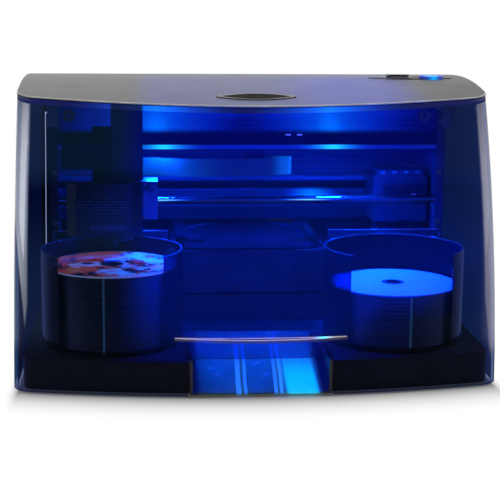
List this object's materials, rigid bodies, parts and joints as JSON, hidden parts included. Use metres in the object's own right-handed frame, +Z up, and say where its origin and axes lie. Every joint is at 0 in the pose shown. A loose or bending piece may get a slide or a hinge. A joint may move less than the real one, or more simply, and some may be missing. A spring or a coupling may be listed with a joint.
{
  "type": "disc label printer",
  "caption": "Desktop disc label printer with a smoked hinged lid, two disc bins, a picking arm, recorders with trays and a print carriage.",
  "frame": {"origin": "middle of the rubber feet's resting plane, half way between the sides, 200 mm behind the base's front", "axes": "+X to the right of a person facing the front, +Y to the back, +Z up"},
  "size_m": [0.436, 0.4177, 0.2699],
  "materials": {
    "silver_cover": "metallic silver-grey paint on moulded plastic, satin",
    "smoked_window": "clear smoked plastic, polished",
    "clear_ledge": "clear plastic with bright edges",
    "smoked_bin": "dark translucent plastic",
    "black_plastic": "fine textured black plastic",
    "gloss_chute": "glossy dark plastic, fine horizontal brushing",
    "dark_sheet": "dark powder-coated sheet",
    "plated_sheet": "zinc-plated sheet",
    "steel_rod": "ground and polished steel",
    "black_rubber": "black rubber",
    "circuit_board": "green solder mask",
    "polycarbonate_disc": "clear discs with a reflective layer",
    "badge_trim": "polished rim with a bare dark centre",
    "button_silver": "translucent button with a light ring",
    "button_dark": "dark button with a bright frame",
    "flat_cable": "light flat cable with fine conductors",
    "cartridge_plastic": "black cartridge shell"
  },
  "bodies": {
    "chassis": {"base_pan": "black_plastic", "deck_plate": "black_plastic", "rubber_feet": "black_rubber", "output_chute": "gloss_chute", "rear_panel": "dark_sheet", "back_wall": "dark_sheet", "side_frames": "dark_sheet", "front_panels": "dark_sheet", "left_bin": "smoked_bin", "right_bin": "smoked_bin", "left_disc_stack": "polycarbonate_disc", "right_disc_stack": "polycarbonate_disc", "drive_cage": "plated_sheet", "upper_recorder_case": "black_plastic", "lower_recorder_case": "black_plastic", "print_tray_rails": "black_plastic", "printer_back_plate": "dark_sheet", "print_guide_rod": "steel_rod", "capping_station": "black_plastic", "gantry_beam": "plated_sheet", "lower_guide_rod": "steel_rod", "gantry_belt": "black_rubber", "gantry_motor": "plated_sheet", "light_boards": "circuit_board", "ribbon_clamp": "black_plastic", "main_board": "circuit_board", "fan_frame": "black_plastic", "rear_sockets": "plated_sheet", "hinge_brackets": "plated_sheet", "hinge_pins": "steel_rod", "chassis_screws": "steel_rod"},
    "lid": {"lid_top_cover": "silver_cover", "lid_window": "smoked_window", "lid_gasket": "black_rubber", "lid_rear_lip": "black_plastic", "lid_grip_lip": "clear_ledge", "badge_plate": "badge_trim", "control_bezel": "black_plastic", "control_board": "circuit_board", "lid_interlock_tabs": "plated_sheet", "lid_hinge_arms": "plated_sheet"},
    "power_button": {"power_button": "button_silver"},
    "pause_button": {"pause_button": "button_dark"},
    "arm": {"arm_trolley": "black_plastic", "arm_column": "dark_sheet", "lift_motor": "plated_sheet", "ribbon_cable": "flat_cable"},
    "picker": {"picker_head": "black_plastic", "lifting_shoe": "black_plastic", "gripper": "black_plastic"},
    "upper_tray": {"upper_tray": "black_plastic"},
    "lower_tray": {"lower_tray": "black_plastic"},
    "upper_eject_button": {"upper_eject_button": "black_plastic"},
    "lower_eject_button": {"lower_eject_button": "black_plastic"},
    "print_tray": {"print_tray": "black_plastic"},
    "print_carriage": {"print_carriage": "black_plastic", "ink_cartridges": "cartridge_plastic"},
    "fan_rotor": {"fan_rotor": "black_plastic"},
    "drive_pulley": {"drive_pulley": "steel_rod"},
    "idler_pulley": {"idler_pulley": "steel_rod"}
  },
  "joints": [
    {"name": "lid_hinge", "type": "hinge", "parent": "chassis", "child": "lid", "pos_m": [0, 0.198, 0.224], "axis": [-1, 0, 0], "range_deg": [0, 75]},
    {"name": "power_press", "type": "slide", "parent": "lid", "child": "power_button", "axis": [0, 0, -1], "range_m": [0, 0.0012], "stiffness_N_per_m": 600},
    {"name": "pause_press", "type": "slide", "parent": "lid", "child": "pause_button", "axis": [0, 0, -1], "range_m": [0, 0.0012], "stiffness_N_per_m": 600},
    {"name": "arm_traverse", "type": "slide", "parent": "chassis", "child": "arm", "axis": [1, 0, 0], "range_m": [0, 0.262], "deforming": ["ribbon_cable"]},
    {"name": "picker_lift", "type": "slide", "parent": "arm", "child": "picker", "axis": [0, 0, 1], "range_m": [-0.022, 0.008]},
    {"name": "upper_tray_slide", "type": "slide", "parent": "chassis", "child": "upper_tray", "axis": [0, -1, 0], "range_m": [0, 0.137]},
    {"name": "lower_tray_slide", "type": "slide", "parent": "chassis", "child": "lower_tray", "axis": [0, -1, 0], "range_m": [0, 0.137]},
    {"name": "upper_eject_press", "type": "slide", "parent": "chassis", "child": "upper_eject_button", "axis": [0, 1, 0], "range_m": [0, 0.0012], "stiffness_N_per_m": 500},
    {"name": "lower_eject_press", "type": "slide", "parent": "chassis", "child": "lower_eject_button", "axis": [0, 1, 0], "range_m": [0, 0.0012], "stiffness_N_per_m": 500},
    {"name": "print_tray_slide", "type": "slide", "parent": "chassis", "child": "print_tray", "axis": [0, -1, 0], "range_m": [0, 0.132]},
    {"name": "print_carriage_slide", "type": "slide", "parent": "chassis", "child": "print_carriage", "axis": [-1, 0, 0], "range_m": [0, 0.215]},
    {"name": "fan_spin", "type": "hinge", "parent": "chassis", "child": "fan_rotor", "pos_m": [-0.12, 0.1875, 0.15], "axis": [0, 1, 0], "continuous": true},
    {"name": "drive_pulley_turn", "type": "hinge", "parent": "chassis", "child": "drive_pulley", "pos_m": [-0.172, -0.037, 0.232], "axis": [0, 1, 0], "range_deg": [-2179.6, 0]},
    {"name": "idler_pulley_turn", "type": "hinge", "parent": "chassis", "child": "idler_pulley", "pos_m": [0.172, -0.037, 0.232], "axis": [0, 1, 0], "range_deg": [-2179.6, 0]}
  ],
  "couplings": [
    {"joint": "drive_pulley_turn", "follows": "arm_traverse", "rad_per_m": -144.93},
    {"joint": "idler_pulley_turn", "follows": "arm_traverse", "rad_per_m": -144.93}
  ]
}
